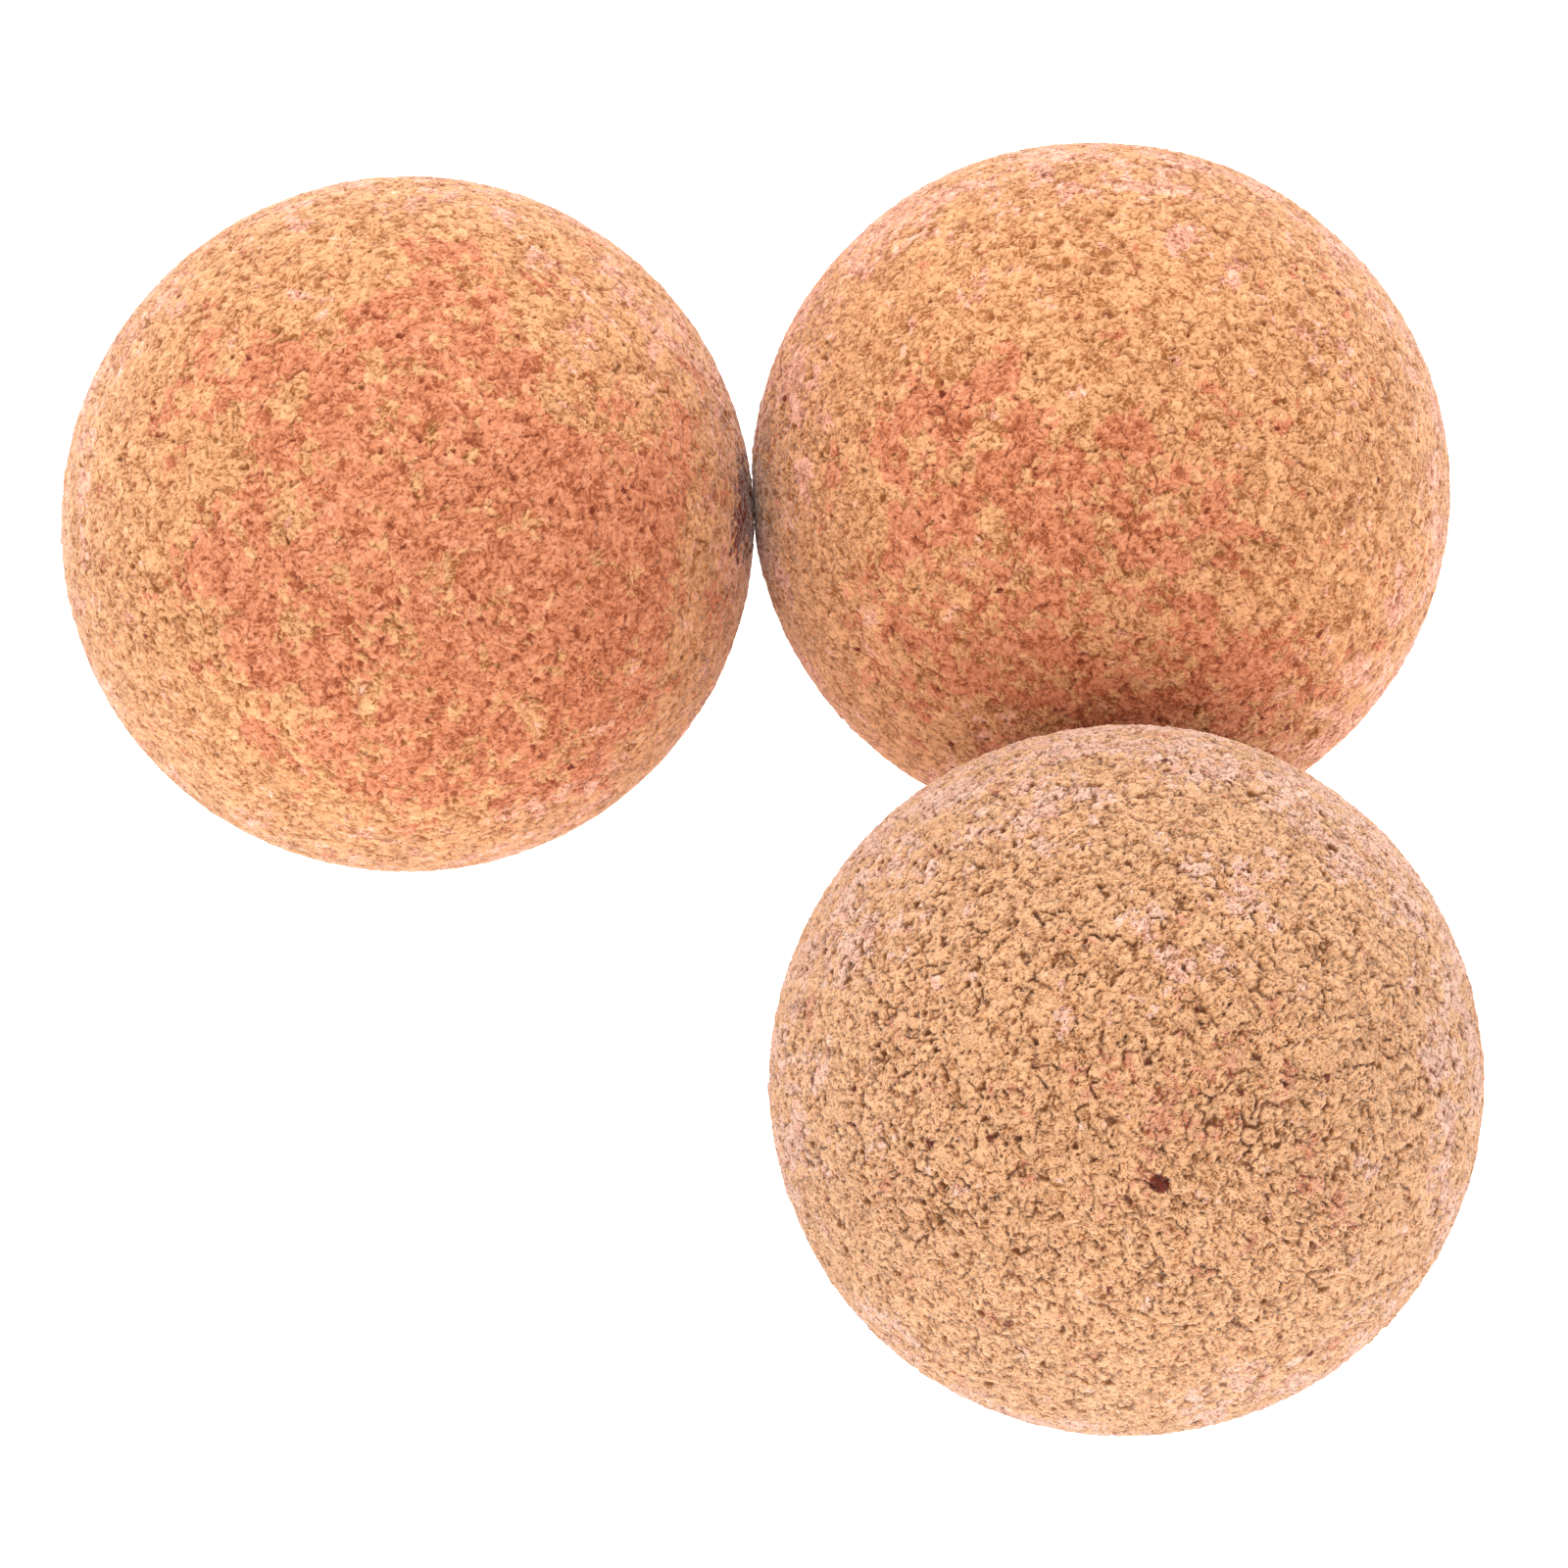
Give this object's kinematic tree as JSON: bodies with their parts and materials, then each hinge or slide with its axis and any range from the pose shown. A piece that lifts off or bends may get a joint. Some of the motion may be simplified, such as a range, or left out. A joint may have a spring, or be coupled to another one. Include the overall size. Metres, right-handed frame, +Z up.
{
  "type": "massage ball set",
  "caption": "Set of equal solid cork massage balls, matte bonded granules with a rough natural grain, lying loose against each other on a flat surface.",
  "frame": {"origin": "bottom centre of the set's box at rest, on the surface that the balls lie on", "axes": "+Z up from the surface; -Y is the front, where the front ball lies; +X runs from the left ball towards the right ball"},
  "size_m": [0.1318, 0.1302, 0.065],
  "materials": {
    "cork_left": "bonded cork granules, raw and matte, ground round, warm reddish tan",
    "cork_right": "bonded cork granules, raw and matte, ground round, warm tan",
    "cork_front": "bonded cork granules, raw and matte, ground round, light tan"
  },
  "bodies": {
    "right_ball": {"right_ball": "cork_right"},
    "left_ball": {"left_ball": "cork_left"},
    "front_ball": {"front_ball": "cork_front"}
  },
  "joints": [
    {"name": "left_ball_away", "type": "slide", "parent": "right_ball", "child": "left_ball", "axis": [0, -1, 0], "range_m": [0, 0.065]},
    {"name": "front_ball_away", "type": "slide", "parent": "right_ball", "child": "front_ball", "axis": [0, -1, 0], "range_m": [0, 0.0325]}
  ]
}
